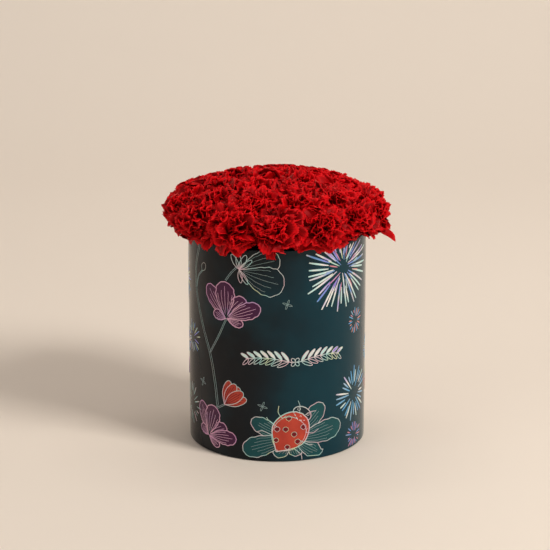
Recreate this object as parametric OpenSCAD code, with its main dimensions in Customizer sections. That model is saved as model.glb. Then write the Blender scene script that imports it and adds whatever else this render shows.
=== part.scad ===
// Round flower box packed with a dome of carnations.
// The origin is the centre of the underside, and +Z is up.

/* [Box] */
// Outside width of the round box
box_d = 160; // [156:1:164]
// Height of the box from the table to its rim
box_h = 195; // [185:1:205]
// Thickness of the greyboard tube and of the base board
board_t = 2.4; // [1.5:0.1:3]
// Thickness of the printed paper, the lining and the base paper
paper_t = 0.4; // [0.2:0.1:0.5]
// How far the printed paper turns down inside the rim
turn_in = 18; // [10:1:25]
// How far the printed paper turns in under the board
turn_under = 14; // [8:1:20]

/* [Foam and film] */
// Depth of the foam's top face below the rim
foam_drop = 26; // [24:1:32]
// Gap round the waterproof film
film_gap = 0.8; // [0.3:0.1:1.5]
// Thickness of the waterproof film
film_t = 0.5; // [0.3:0.1:1]
// Height of the film above the foam
film_rise = 8; // [3:1:10]

/* [Blooms] */
// Radius of one open bloom before its neighbours press it
bloom_r = 23; // [22:0.5:23.5]
// Gap left between two blooms that press on each other
bloom_gap = 0.5; // [0.3:0.1:1]
// Most that a bloom stands higher or lower than its row
height_wobble = 1.2; // [0:0.1:1.5]
// Most that a bloom leans more or less than its row, in degrees
lean_wobble = 2; // [0:0.5:3]

/* [Stems] */
// Width of a cut stem
stem_d = 4.6; // [4:0.2:5]
// Length of the green calyx cup under a bloom
calyx_l = 22; // [20:1:24]
// Width of the calyx at its mouth
calyx_d = 12.6; // [11:0.2:13]
// Depth that the stems stand in the foam
stem_depth = 50; // [30:5:80]

/* [Hidden] */
$fn = 64;
box_r = box_d / 2;
tube_out = box_r - paper_t;
tube_in = tube_out - board_t;
lining_in = tube_in - paper_t;
film_out = lining_in - film_gap;
film_in = film_out - film_t;
tube_z = 2 * paper_t;
tube_top = box_h - paper_t;
floor_z = tube_z + board_t;
film_z = floor_z + film_gap;
foam_z = film_z + film_t;
foam_top = box_h - foam_drop;
foot_z = foam_top - stem_depth;

// Rows of blooms from the outside in: how many, how far the row's centres
// lie from the axis, how high over the rim, how far they lean out, where
// the first one stands, and the straight neck between calyx and bend.
COUNT = 0;
REACH = 1;
RISE = 2;
LEAN = 3;
FIRST = 4;
NECK = 5;
rows = [
    [13, 82, 16.5, 60, -90, 7],
    [9, 55, 28, 36, -72, 9],
    [4, 24, 30, 13, -60, 12]
];

// Every bloom as [row, place in its row].
places = [for (row = [0 : len(rows) - 1], k = [0 : rows[row][COUNT] - 1]) [row, k]];
flower_count = len(places);

// A steady unevenness from -1 to 1, different for each flower and use.
function wobble(i, use) = sin(137.5 * i + 71 * use * (i + 1));
function row_of(i) = rows[places[i][0]];
function azimuth(i) = row_of(i)[FIRST] + 360 * places[i][1] / row_of(i)[COUNT];
function lean(i) = row_of(i)[LEAN] + lean_wobble * wobble(i, 1);
function height(i) = box_h + row_of(i)[RISE] + height_wobble * wobble(i, 2);
function centre(i) = [
    row_of(i)[REACH] * cos(azimuth(i)),
    row_of(i)[REACH] * sin(azimuth(i)),
    height(i)
];

// A bloom's petals leave the calyx this far under the bloom's centre.
mouth_drop = 10;
// How wide the petals' underside is where it leaves the calyx.
underside_r = calyx_d / 2 - 0.6;
// Height over which the underside spreads to the bloom's full width.
underside_h = 13;
// Sides round a bloom's soft head.
head_sides = 22;
calyx_base_d = 8;
calyx_foot_h = 7;
// The swollen joint where a stem bends.
joint_d = stem_d + 1.6;
far = 120;

function two_digits(i) = str(i < 9 ? "0" : "", i + 1);
function bloom_name(i) = str("bloom_", two_digits(i));
function stem_name(i) = str("stem_", two_digits(i));

// A ring from z0 to z1 between two radii.
module ring(r_out, r_in, z0, z1) {
    translate([0, 0, z0])
        rotate_extrude() translate([r_in, 0]) square([r_out - r_in, z1 - z0]);
}

module disc(r, z0, z1) {
    translate([0, 0, z0]) cylinder(r = r, h = z1 - z0);
}

module box_tube() {
    color("tan") ring(tube_out, tube_in, tube_z, tube_top);
}

// Printed paper: round the tube, over the rim, and in under the board.
module printed_wrap() {
    under_in = box_r - turn_under;
    color("darkslategray") rotate_extrude() polygon([
        [under_in, paper_t], [box_r, paper_t], [box_r, box_h],
        [lining_in, box_h], [lining_in, box_h - turn_in],
        [tube_in, box_h - turn_in], [tube_in, tube_top],
        [tube_out, tube_top], [tube_out, tube_z], [under_in, tube_z]
    ]);
}

module base_board() {
    color("tan") disc(tube_in, tube_z, floor_z);
}

module base_paper() {
    color("dimgray") disc(tube_in, 0, paper_t);
}

module inner_lining() {
    color("black") ring(tube_in, lining_in, floor_z, box_h - turn_in);
}

module waterproof_film() {
    film_top = foam_top + film_rise;
    color("gray") rotate_extrude() polygon([
        [0, film_z], [film_out, film_z], [film_out, film_top],
        [film_in, film_top], [film_in, foam_z], [0, foam_z]
    ]);
}

// Wet flower foam, with a hole for each stem.
module flower_foam() {
    color("darkgreen") difference() {
        disc(film_in, foam_z, foam_top);
        for (i = [0 : flower_count - 1])
            rotate([0, 0, azimuth(i)]) translate([foot_reach(i), 0, foot_z])
                cylinder(d = stem_d, h = stem_depth + 1);
    }
}

// How far a point below a bloom's centre, on its axis, lies out and up.
function reach_below(i, drop) = row_of(i)[REACH] - drop * sin(lean(i));
function height_below(i, drop) = height(i) - drop * cos(lean(i));
// Distance from a bloom's centre down its axis to the bend in its stem.
function bend_drop(i) = mouth_drop + calyx_l + row_of(i)[NECK];
function foot_reach(i) = reach_below(i, bend_drop(i));

// The green cup that holds the petals, with the neck of stem under it.
module calyx(neck) {
    rotate_extrude() polygon([
        [0, -neck], [stem_d / 2, -neck], [stem_d / 2, 0], [calyx_base_d / 2, 0],
        [calyx_d / 2, calyx_foot_h], [calyx_d / 2, calyx_l], [0, calyx_l]
    ]);
}

// A cut stem: straight up from the foam, bent at a joint, into its calyx.
module stem(i) {
    neck = row_of(i)[NECK];
    bend_z = height_below(i, bend_drop(i));
    color("olivedrab") rotate([0, 0, azimuth(i)]) {
        translate([foot_reach(i), 0, foot_z])
            cylinder(d = stem_d, h = bend_z - foot_z);
        translate([foot_reach(i), 0, bend_z]) {
            sphere(d = joint_d);
            rotate([0, lean(i), 0]) translate([0, 0, neck]) calyx(neck);
        }
    }
}

// A round head of petals: a ball over a wide flat cone.
module head() {
    intersection() {
        sphere(r = bloom_r);
        translate([0, 0, -mouth_drop])
            cylinder(
                r1 = underside_r,
                r2 = underside_r + (bloom_r - underside_r) * far / underside_h,
                h = far
            );
    }
}

// Everything past the plane half way to another bloom's centre.
module past_half_way(from, to) {
    way = to - from;
    n = way / norm(way);
    translate((from + to) / 2 - n * bloom_gap / 2)
        rotate([0, acos(n[2]), atan2(n[1], n[0])])
            translate([-far / 2, -far / 2, 0]) cube(far);
}

// One bloom, pressed flat where it meets its neighbours. It bulges
// everywhere, so hull() gives the same shape as one closed skin.
module bloom(i) {
    color("crimson") hull() difference() {
        translate(centre(i)) rotate([0, 0, azimuth(i)]) rotate([0, lean(i), 0])
            head($fn = head_sides);
        for (j = [0 : flower_count - 1])
            if (j != i && norm(centre(j) - centre(i)) < 2 * bloom_r)
                past_half_way(centre(i), centre(j));
    }
}

box_tube();
printed_wrap();
base_board();
base_paper();
inner_lining();
waterproof_film();
flower_foam();
for (i = [0 : flower_count - 1]) {
    stem(i);
    bloom(i);
}
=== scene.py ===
# %% [markdown]
# # Red carnations in a round box
# A florist's round box of glossy printed paper holds twenty-six cut carnations, pushed into wet foam so
# that their heads press together in a low dome over the rim. The box, the foam and the stems come from
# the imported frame, and the petals are grown here, one by one, because a carnation is nothing but ruffles.

# %% Frame
import math

import bpy
import numpy as np
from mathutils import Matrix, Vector


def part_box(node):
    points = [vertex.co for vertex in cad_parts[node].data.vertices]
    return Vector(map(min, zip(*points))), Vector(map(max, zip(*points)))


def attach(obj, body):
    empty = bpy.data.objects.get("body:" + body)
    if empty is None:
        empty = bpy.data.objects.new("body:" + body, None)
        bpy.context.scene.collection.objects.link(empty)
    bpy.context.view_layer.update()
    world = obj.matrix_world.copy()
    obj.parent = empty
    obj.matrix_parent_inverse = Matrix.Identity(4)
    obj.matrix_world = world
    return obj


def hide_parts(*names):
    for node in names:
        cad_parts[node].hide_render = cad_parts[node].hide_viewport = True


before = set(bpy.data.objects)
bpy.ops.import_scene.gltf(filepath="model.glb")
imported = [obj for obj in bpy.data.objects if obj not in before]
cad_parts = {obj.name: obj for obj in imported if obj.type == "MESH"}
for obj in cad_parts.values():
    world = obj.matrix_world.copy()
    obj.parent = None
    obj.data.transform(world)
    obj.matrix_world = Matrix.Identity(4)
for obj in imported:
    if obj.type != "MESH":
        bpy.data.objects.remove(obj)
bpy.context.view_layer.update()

MM = 0.001
NEARLY_NOTHING = 1e-9

# %% [markdown]
# The box's own nodes give the rim's height and the wrap's radius, so the looks can't drift away from the
# frame. At the rim the wall is the board with the sheet on both its faces.

# %% Sizes taken from the frame
wrap_low, wrap_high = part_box("printed_wrap")
BOX_R = (wrap_high[0] - wrap_low[0]) / 2
RIM_Z = wrap_high[2]
BOARD, PAPER = 2.4, 0.4
LINING_R = BOX_R - (BOARD + 2 * PAPER) * MM
print("box radius", round(BOX_R, 4), "rim height", round(RIM_Z, 4))

# %% [markdown]
# Three rows of flowers lean outwards less and less towards the middle. Each row says how many flowers it
# has, how far their centres lie from the axis, how high over the rim, how far they lean, and where the
# first one stands. A steady wobble keeps them from looking like a machine's work.

# %% Where each carnation stands
ROWS = [
    dict(count=13, reach=82, rise=16.5, lean=60, first=-90),
    dict(count=9, reach=55, rise=28, lean=36, first=-72),
    dict(count=4, reach=24, rise=30, lean=13, first=-60),
]
HEIGHT_WOBBLE = 1.2
LEAN_WOBBLE = 2
SWELL = 2.2


def wobble(i, use):
    """A steady unevenness from -1 to 1, different for each flower and each use."""
    return math.sin(math.radians(137.5 * i + 71 * use * (i + 1)))


class Flower:
    """One carnation's place: the centre of its head, and the axes it leans along."""

    def __init__(self, index, row, place):
        around = math.radians(row["first"] + 360 * place / row["count"])
        lean = math.radians(row["lean"] + LEAN_WOBBLE * wobble(index, 1))
        rise = row["rise"] + HEIGHT_WOBBLE * wobble(index, 2)
        out = np.array([math.cos(around), math.sin(around), 0.0])
        up = np.array([0.0, 0.0, 1.0])
        self.name = f"{index + 1:02d}"
        self.row = row
        self.swell = SWELL * wobble(index, 3)
        self.out = out
        self.centre = out * row["reach"] * MM + up * (RIM_Z + rise * MM)
        self.axis = out * math.sin(lean) + up * math.cos(lean)
        self.down = out * math.cos(lean) - up * math.sin(lean)
        self.side = np.cross(self.axis, self.down)


flowers = []
for row in ROWS:
    for place in range(row["count"]):
        flowers.append(Flower(len(flowers), row, place))
for flower in flowers:
    low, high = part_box("bloom_" + flower.name)
    assert all(low[k] < flower.centre[k] < high[k] for k in range(3)), flower.name
print(len(flowers), "flowers, each inside its own solid of the frame")

# %% [markdown]
# The camera looks slightly down on the box from a little above the flowers, through a long lens, so the
# box's sides stay almost upright. The long lens also keeps the dome of flowers as flat as it really is.

# %% Camera
VIEW_DOWN = math.radians(16.2)
VIEW_DISTANCE, SEEN_WIDTH = 2.0, 0.4973
SENSOR = 36
aim = np.array([-0.0019, 0.0, 0.1499])
back = np.array([0.0, -math.cos(VIEW_DOWN), math.sin(VIEW_DOWN)])
camera_data = bpy.data.cameras.new("studio_camera")
camera_data.sensor_width = SENSOR
camera_data.lens = SENSOR * VIEW_DISTANCE / SEEN_WIDTH
camera = bpy.data.objects.new("studio_camera", camera_data)
bpy.context.scene.collection.objects.link(camera)
camera.location = aim + back * VIEW_DISTANCE
camera.rotation_euler = (math.pi / 2 - VIEW_DOWN, 0, 0)
camera_data.clip_end = 20
bpy.context.scene.camera = camera
print("lens", round(camera_data.lens, 1), "mm")

# %% [markdown]
# A studio sweep: a pale floor that curves up into a wall behind, so that no corner shows. It is not part
# of the object, and it is one strip of faces bent along a quarter circle.

# %% Helpers for new meshes
def new_piece(name, points, faces, smooth=True):
    """A mesh object from points in metres, in the frame's own axes."""
    mesh = bpy.data.meshes.new(name)
    mesh.from_pydata([tuple(p) for p in points], [], [tuple(f) for f in faces])
    mesh.validate()
    mesh.polygons.foreach_set("use_smooth", [smooth] * len(mesh.polygons))
    piece = bpy.data.objects.new(name, mesh)
    bpy.context.scene.collection.objects.link(piece)
    return piece


def smooth_step(value):
    """From 0 to 1, with no kink at either end."""
    value = np.clip(value, 0.0, 1.0)
    return value * value * (3 - 2 * value)


def grid_faces(rows, columns, first=0, closed=False, ring=False):
    """Four-sided faces over a grid of points stored row by row."""
    faces = []
    across = columns if closed else columns - 1
    down = rows if ring else rows - 1
    for r in range(down):
        for c in range(across):
            a, b = first + r * columns + c, first + r * columns + (c + 1) % columns
            below = first + (r + 1) % rows * columns
            faces.append((a, b, below + (c + 1) % columns, below + c))
    return faces


def slab_faces(rows, columns, first):
    """Closed faces over two grids of points, the outer one stored before the inner one."""
    under = rows * columns
    top = grid_faces(rows, columns, first)
    number = first + np.arange(under).reshape(rows, columns)
    edge = [*number[0], *number[1:, -1], *number[-1, -2::-1], *number[-2:0:-1, 0]]
    faces = top + [tuple(i + under for i in reversed(face)) for face in top]
    faces += [(b, a, a + under, b + under) for a, b in zip(edge, edge[1:] + edge[:1])]
    return faces


# %% [markdown]
# Shader maths reads better as plain sums. One class wraps a node's output, and every sum on it adds a
# Math node. Anything else, such as a noise or a ramp, comes from a single method.

# %% Shader sums
class Value:
    """An output socket that can be used in sums."""

    def __init__(self, tree, socket):
        self.tree = tree
        self.socket = socket

    def sum(self, operation, first, second):
        return node(self.tree, "ShaderNodeMath", {"operation": operation}, {0: first, 1: second})

    def __add__(self, other):
        return self.sum("ADD", self, other)

    def __radd__(self, other):
        return self.sum("ADD", other, self)

    def __sub__(self, other):
        return self.sum("SUBTRACT", self, other)

    def __rsub__(self, other):
        return self.sum("SUBTRACT", other, self)

    def __mul__(self, other):
        return self.sum("MULTIPLY", self, other)

    def __rmul__(self, other):
        return self.sum("MULTIPLY", other, self)

    def output(self, name):
        """Another output of the same node."""
        return Value(self.tree, self.socket.node.outputs[name])


def node(tree, kind, settings=None, inputs=None):
    """A new node: its type, its settings, then the values or links of its sockets."""
    made = tree.nodes.new(kind)
    for name, setting in (settings or {}).items():
        if name == "stops":
            ramp = made.color_ramp
            while len(ramp.elements) < len(setting):
                ramp.elements.new(1.0)
            for element, (place, colour) in zip(ramp.elements, setting):
                element.position = place
                element.color = (*colour, 1.0)
        else:
            setattr(made, name, setting)
    for name, value in (inputs or {}).items():
        if isinstance(value, Value):
            tree.links.new(value.socket, made.inputs[name])
        else:
            made.inputs[name].default_value = value
    return Value(tree, next(out for out in made.outputs if out.enabled))


def mix(factor, first, second):
    """One colour over another by a factor."""
    tree = next(v.tree for v in (factor, first, second) if isinstance(v, Value))
    inputs = {"Factor": factor, 6: opaque(first), 7: opaque(second)}
    return node(tree, "ShaderNodeMix", {"data_type": "RGBA"}, inputs).output(2)


def opaque(colour):
    """A colour constant needs its fourth number."""
    return colour if isinstance(colour, Value) else (*colour, 1.0)


class Finish:
    """A material with a Principled shader, and the method that feeds it."""

    def __init__(self, name, **constants):
        self.material = bpy.data.materials.new(name)
        self.material.use_nodes = True
        self.tree = self.material.node_tree
        self.shader = self.tree.nodes["Principled BSDF"]
        for socket, value in constants.items():
            self.shader.inputs[socket.replace("_", " ")].default_value = value

    def node(self, kind, settings=None, inputs=None):
        return node(self.tree, kind, settings, inputs)

    def feed(self, socket, value):
        self.tree.links.new(value.socket, self.shader.inputs[socket])

    def place(self):
        """Where a point of the surface lies, in metres."""
        return self.node("ShaderNodeTexCoord").output("Object")

    def noise(self, scale, detail=2.0, roughness=0.5, vector=None):
        inputs = {"Scale": scale, "Detail": detail, "Roughness": roughness}
        inputs["Vector"] = vector or self.place()
        return self.node("ShaderNodeTexNoise", None, inputs)

    def cells(self, scale):
        """How far a point lies from the middle of the nearest of many small cells."""
        inputs = {"Vector": self.place(), "Scale": scale}
        return self.node("ShaderNodeTexVoronoi", {"feature": "F1"}, inputs)

    def stretched(self, scale):
        """The surface's own place, drawn out along its axes."""
        inputs = {"Vector": self.place(), "Scale": scale}
        return self.node("ShaderNodeMapping", {"vector_type": "POINT"}, inputs)

    def span(self, value, low, high, start=0.0, end=1.0, way="LINEAR"):
        """A value that runs from one number to another while another value goes from low to high."""
        inputs = {"Value": value, "From Min": low, "From Max": high, "To Min": start, "To Max": end}
        return self.node("ShaderNodeMapRange", {"interpolation_type": way}, inputs)

    def bump(self, height, distance, strength=1.0):
        inputs = {"Height": height, "Distance": distance, "Strength": strength}
        self.feed("Normal", self.node("ShaderNodeBump", None, inputs).output("Normal"))


def paint(piece, finish):
    """Gives a piece its material."""
    piece.data.materials.clear()
    piece.data.materials.append(finish.material)


# %% Studio sweep
SWEEP_HALF_WIDTH = 6.0
SWEEP_FRONT, SWEEP_BACK, SWEEP_BEND, SWEEP_TOP = -4.0, 2.2, 1.2, 5.0
BEND_STEPS = 16
profile = [(SWEEP_FRONT, 0.0), (SWEEP_BACK - SWEEP_BEND, 0.0)]
for k in range(1, BEND_STEPS + 1):
    turn = math.pi / 2 * k / BEND_STEPS
    y = SWEEP_BACK - SWEEP_BEND + SWEEP_BEND * math.sin(turn)
    profile.append((y, SWEEP_BEND - SWEEP_BEND * math.cos(turn)))
profile.append((SWEEP_BACK, SWEEP_TOP))
sweep_points = []
for y, z in profile:
    sweep_points += [(-SWEEP_HALF_WIDTH, y, z), (SWEEP_HALF_WIDTH, y, z)]
sweep = new_piece("studio_sweep", sweep_points, grid_faces(len(profile), 2))

sweep_paper = Finish("studio_paper", Roughness=0.85)
sweep_grain = sweep_paper.noise(400.0, 2.0)
sweep_paper.feed("Base Color", mix(sweep_grain * 0.06, (0.79, 0.708, 0.625), (0.74, 0.66, 0.575)))
paint(sweep, sweep_paper)
print("sweep", len(sweep.data.polygons), "faces")

# %% [markdown]
# Plain soft studio light: a large warm key lamp high on the right, in front of the box, a weak fill from
# the left, a lamp for the wall, and a pale surround that the glossy paper can reflect. The surround is
# dimmer on the front's side, so that the dark print stays dark.

# %% Lamps
def lamp(name, place, target, size, watts, colour):
    data = bpy.data.lights.new(name, "AREA")
    data.shape = "RECTANGLE"
    data.size, data.size_y = size
    data.energy = watts
    data.color = colour
    made = bpy.data.objects.new(name, data)
    bpy.context.scene.collection.objects.link(made)
    made.location = place
    way = Vector(np.array(target) - np.array(place))
    made.rotation_mode = "QUATERNION"
    made.rotation_quaternion = way.to_track_quat("-Z", "Y")
    print(name, watts, "W")


WARM, SOFT_WARM = (1.0, 0.96, 0.9), (1.0, 0.97, 0.94)
BOX_MIDDLE, WALL_MIDDLE = (0, 0, 0.15), (0, 2.2, 1.0)
lamp("key_lamp", (1.8, -1.3, 1.9), BOX_MIDDLE, (0.8, 0.8), 63, WARM)
lamp("wall_lamp", (0.0, 0.6, 2.6), WALL_MIDDLE, (2.5, 0.5), 20, SOFT_WARM)
lamp("fill_lamp", (-1.8, -1.2, 1.0), BOX_MIDDLE, (1.2, 1.2), 6, SOFT_WARM)

# %% Surround
world = bpy.data.worlds.new("surround")
world.use_nodes = True
surround = world.node_tree.nodes["Background"]
every_way = node(world.node_tree, "ShaderNodeTexCoord")
ahead = node(world.node_tree, "ShaderNodeSeparateXYZ", None, {"Vector": every_way}).output("Y")
glow = node(world.node_tree, "ShaderNodeMapRange", {"interpolation_type": "SMOOTHSTEP"},
            {"Value": ahead, "From Min": -0.3, "From Max": 0.8, "To Min": 0.3, "To Max": 0.75})
surround.inputs["Color"].default_value = (0.92, 0.86, 0.8, 1)
world.node_tree.links.new(glow.socket, surround.inputs["Strength"])
bpy.context.scene.world = world
bpy.context.scene.view_settings.view_transform = "Standard"
print("surround", world.name)

# %% [markdown]
# ## The printed wrap
# On the real box one sheet of glossy laminated paper is glued round the tube, turned in over the rim and
# in under the base. The frame's own ring has knife-sharp edges and no seam, so the sheet's section is spun
# round the axis here with soft folded edges, the lap of its glued seam at the back, and the faint
# unevenness of paper pulled over board, which is what makes its reflections look real. The sheet's back
# stays a hair clear of the board.

# %% The sheet's section, spun round the box
SHEET_BACK = 0.9 * PAPER
FOLD_R = 1.0
BANDS, BAND_EDGE = 24, 8
TURN_IN, TURN_UNDER = 18.0, 14.0
LAP_HALF, LAP_STEP, LAP_RAMP = 5.0, 0.12, 14.0
LAP_LIFT = 0.24
UNEVEN, UNEVEN_WAVES = 0.05, [(3, 37), (7, -23), (2, 11)]
rim_z = RIM_Z / MM
foot_z = wrap_low[2] / MM
box_r = BOX_R / MM
lining_r = LINING_R / MM


def fold(r, z, first, last, steps=6):
    """Points round a folded edge, from one angle to another in degrees."""
    turns = np.radians(np.linspace(first, last, steps))
    return [(r + FOLD_R * math.cos(turn), z + FOLD_R * math.sin(turn)) for turn in turns]


def lap(angle):
    """How much the seam's lap lifts the sheet, from 0 to 1, by degrees from the front."""
    past = angle - (180 - LAP_HALF)
    if past < LAP_STEP:
        return max(past / LAP_STEP, 0.0)
    return float(1 - smooth_step((angle - 180 - LAP_HALF) / LAP_RAMP))


skin = [(box_r - TURN_UNDER, foot_z)]
skin += fold(box_r - FOLD_R, foot_z + FOLD_R, -90, 0)
skin += [(box_r, z) for z in np.linspace(foot_z + BAND_EDGE, rim_z - BAND_EDGE, BANDS)]
skin += fold(box_r - FOLD_R, rim_z - FOLD_R, 0, 90)
skin += fold(lining_r + FOLD_R, rim_z - FOLD_R, 90, 180)
skin += [(lining_r, rim_z - TURN_IN)]
inner_r = lining_r + SHEET_BACK
outer_r = box_r - SHEET_BACK
back_side = [(inner_r, rim_z - TURN_IN), (inner_r, rim_z - PAPER), (outer_r, rim_z - PAPER),
             (outer_r, foot_z + PAPER), (box_r - TURN_UNDER, foot_z + PAPER)]
angles = sorted([*range(360), 180 - LAP_HALF + LAP_STEP])
wrap_points = []
for angle in angles:
    turn = math.radians(angle)
    for place, (r, z) in enumerate(skin + back_side):
        if place < len(skin):
            waves = [math.sin(times * turn + z / rise) for times, rise in UNEVEN_WAVES]
            r += UNEVEN * sum(waves) / len(waves) + LAP_LIFT * lap(angle)
        wrap_points.append((r * math.sin(turn) * MM, -r * math.cos(turn) * MM, z * MM))
section_size = len(skin) + len(back_side)
wrap_faces = grid_faces(len(angles), section_size, closed=True, ring=True)
wrap = new_piece("wrap_sheet", wrap_points, wrap_faces)
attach(wrap, "root")
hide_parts("printed_wrap")
print("wrap", len(wrap_faces), "faces")

# %% [markdown]
# The print is a dark wash that drifts from near black on one side to petrol teal on the other, with slow
# cloudy patches, under a clear gloss laminate. The near-black side is partly print and partly painted shade,
# as it is the side away from the key lamp. The drift follows the box's own X axis, so it stays on the
# paper in every view. The laminate is the shader's coat, and a very fine ripple keeps it from being glass.

# %% Printed paper
printed_paper = Finish("printed_paper", Coat_Roughness=0.07, Coat_IOR=1.26, Specular_IOR_Level=0.02)
paper_place = printed_paper.node("ShaderNodeSeparateXYZ", None, {"Vector": printed_paper.place()})
clouds = printed_paper.noise(14.0, 3.0, 0.55)
drift = paper_place.output("X") + (clouds - 0.5) * 0.08
# The drift to near black on the -X side is partly print and partly painted shade, on the side away from the
# key lamp.
print_wash_and_painted_shade = printed_paper.span(drift, -0.045, 0.055, way="SMOOTHSTEP")
paper_colour = mix(print_wash_and_painted_shade, (0.005, 0.0065, 0.009), (0.0006, 0.03, 0.045))
teal_patches = printed_paper.span(clouds, 0.5, 0.8, end=0.5)
paper_colour = mix(teal_patches, paper_colour, (0.003, 0.045, 0.062))
printed_paper.feed("Base Color", paper_colour)
fine_ripple = printed_paper.noise(260.0, 2.0)
printed_paper.feed("Roughness", 0.4 + 0.12 * fine_ripple)
printed_paper.feed("Coat Weight", 0.8 + 0.2 * clouds)
printed_paper.bump(fine_ripple, 0.02 * MM, 0.25)
paint(wrap, printed_paper)
print("painted", wrap.name)

# %% [markdown]
# ## The foil drawings
# Hot-stamped foil lies on the laminate as a layer thinner than a hair: line flowers, bursts of strokes, a
# ladybird and a laurel sprig, all designed here for this box. They are drawn on the flat sheet, in
# millimetres round the box from the front's middle and up from the table, then bent round the tube. Each
# line is a thin closed slab, so it catches the light as real foil does and is really there in the mesh.

# %% Drawing on the sheet
FOIL_LIFT, INK_LIFT, OVERPRINT_LIFT = 0.09, 0.05, 0.07
SUNK, LAYER = -0.12, 0.05
OUTLINE, MIDDLING, THIN, HAIR = 0.75, 0.5, 0.4, 0.35
PETAL_VEIN, CUP_VEIN, LEAF_VEIN, PALE_VEIN = 0.38, 0.55, 0.28, 0.25
STEM_LINE = 0.42
STEM_GAP, SMALL_GAP, BUD_GAP = 2.1, 1.2, 1.0
SHEET_LOW, SHEET_HIGH = foot_z + FOLD_R, rim_z - FOLD_R


def on_box(along, up, lift):
    """A place on the sheet, in metres in the frame."""
    turn = along / box_r
    r = (box_r + lift + LAP_LIFT * lap(math.degrees(turn) % 360)) * MM
    return (r * math.sin(turn), -r * math.cos(turn), up * MM)


def to_the_right(path):
    """The way to the right of a path on the sheet, at each of its points."""
    way = np.gradient(path, axis=0)
    way /= np.linalg.norm(way, axis=1, keepdims=True) + NEARLY_NOTHING
    return np.stack([way[:, 1], -way[:, 0]], axis=1)


class Print:
    """Lines and flat shapes of one foil or ink, gathered into one piece."""

    def __init__(self, name, finish, lift):
        self.name = name
        self.finish = finish
        self.lift = lift
        self.points = []
        self.faces = []

    def slab(self, grid, layer=0):
        """A thin closed slab over a grid of places, trimmed at the sheet's edges."""
        up = grid[..., 1]
        inside = (up.max(axis=1) > SHEET_LOW) & (up.min(axis=1) < SHEET_HIGH)
        stretches = np.split(np.arange(len(grid)), np.nonzero(np.diff(inside))[0] + 1)
        for stretch in stretches:
            if inside[stretch[0]] and len(stretch) > 1:
                self.closed_slab(grid[stretch], layer)

    def closed_slab(self, grid, layer):
        rows, columns = grid.shape[:2]
        first = len(self.points)
        for lift in (self.lift + layer * LAYER, SUNK):
            for along, up in grid.reshape(-1, 2):
                self.points.append(on_box(along, min(max(up, SHEET_LOW), SHEET_HIGH), lift))
        self.faces += slab_faces(rows, columns, first)

    def line(self, path, width, layer=0):
        """A line of one width, or of a width for each of its points."""
        path = np.array(path, dtype=float)
        side = to_the_right(path)
        half = np.broadcast_to(np.asarray(width) / 2, len(path))[:, None]
        self.slab(np.stack([path + side * half, path - side * half], axis=1), layer)

    def finish_piece(self):
        piece = new_piece(self.name, self.points, self.faces, smooth=False)
        paint(piece, self.finish)
        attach(piece, "root")
        print(self.name, len(self.faces), "faces")


def sweep_line(points, count=24):
    """Places along a smooth curve through a few points on the sheet."""
    points = np.array(points, dtype=float)
    ends = [2 * points[0] - points[1], *points, 2 * points[-1] - points[-2]]
    path = []
    for a, b, c, d in zip(ends, ends[1:], ends[2:], ends[3:]):
        square, cube = 2 * a - 5 * b + 4 * c - d, 3 * b - a - 3 * c + d
        for t in np.linspace(0, 1, count, endpoint=False):
            path.append(b + 0.5 * t * (c - a + t * (square + t * cube)))
    return [*path, points[-1]]


# %% [markdown]
# Foil splits light like a film of oil, so its colour runs through pale silver, rose, aqua and lime from
# place to place. A slow noise picks the tint through a colour ramp. The tint is on the object and not on
# the camera, so it holds still in every view. Inks are plain glossy colours with a little wear.

# %% Foils and inks
def foil(name, tints):
    made = Finish(name, Specular_IOR_Level=0.6)
    drift = made.noise(42.0, 1.5, 0.5)
    stops = [(0.28 + 0.44 * k / (len(tints) - 1), tint) for k, tint in enumerate(tints)]
    shift = made.node("ShaderNodeValToRGB", {"stops": stops}, {"Fac": drift})
    grain = made.noise(900.0, 1.0)
    made.feed("Base Color", mix(grain * 0.25, shift, (0.35, 0.36, 0.38)))
    made.feed("Metallic", 0.55 + 0.2 * grain)
    made.feed("Roughness", 0.24 + 0.2 * grain)
    return made


def ink(name, colour, shade):
    made = Finish(name, Specular_IOR_Level=0.1, Coat_Roughness=0.1, Coat_IOR=1.3)
    blotches = made.noise(60.0, 3.0, 0.6)
    made.feed("Base Color", mix(blotches, colour, shade))
    made.feed("Roughness", 0.3 + 0.2 * blotches)
    made.feed("Coat Weight", 0.4 + 0.3 * blotches)
    return made


SILVER, ROSE = (0.74, 0.75, 0.77), (0.8, 0.55, 0.66)
AQUA, LIME = (0.42, 0.78, 0.78), (0.72, 0.82, 0.5)
VIOLET, BLUE = (0.34, 0.26, 0.85), (0.12, 0.34, 0.8)
LILAC, PEACH = (0.66, 0.3, 0.6), (0.9, 0.5, 0.34)


def new_foil(name, material, tints):
    return Print("foil_" + name, foil(material + "_foil", tints), FOIL_LIFT)


def new_ink(name, colour, shade, lift=INK_LIFT):
    return Print("ink_" + name, ink(name + "_ink", colour, shade), lift)


silver_foil = new_foil("silver", "silver", [SILVER, ROSE, SILVER, AQUA, LIME, SILVER])
fine_foil = new_foil("fine_lines", "fine", [(0.3, 0.36, 0.4), (0.25, 0.42, 0.42), (0.42, 0.36, 0.34)])
white_foil = new_foil("white", "white", [(0.9, 0.92, 0.92), (0.5, 0.85, 0.85), (0.95, 0.95, 0.93), VIOLET])
lilac_foil = new_foil("lilac", "lilac", [LILAC, (0.8, 0.45, 0.62), (0.5, 0.3, 0.68)])
violet_foil = new_foil("violet", "violet", [VIOLET, SILVER, BLUE, VIOLET])
blue_foil = new_foil("blue", "blue", [BLUE, (0.1, 0.45, 0.8), SILVER])
rose_foil = new_foil("rose", "rose", [PEACH, (0.75, 0.25, 0.3), LILAC])
plum_ink = new_ink("plum", (0.085, 0.012, 0.06), (0.035, 0.008, 0.04))
coral_ink = new_ink("coral", (0.66, 0.085, 0.045), (0.26, 0.014, 0.012))
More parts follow.
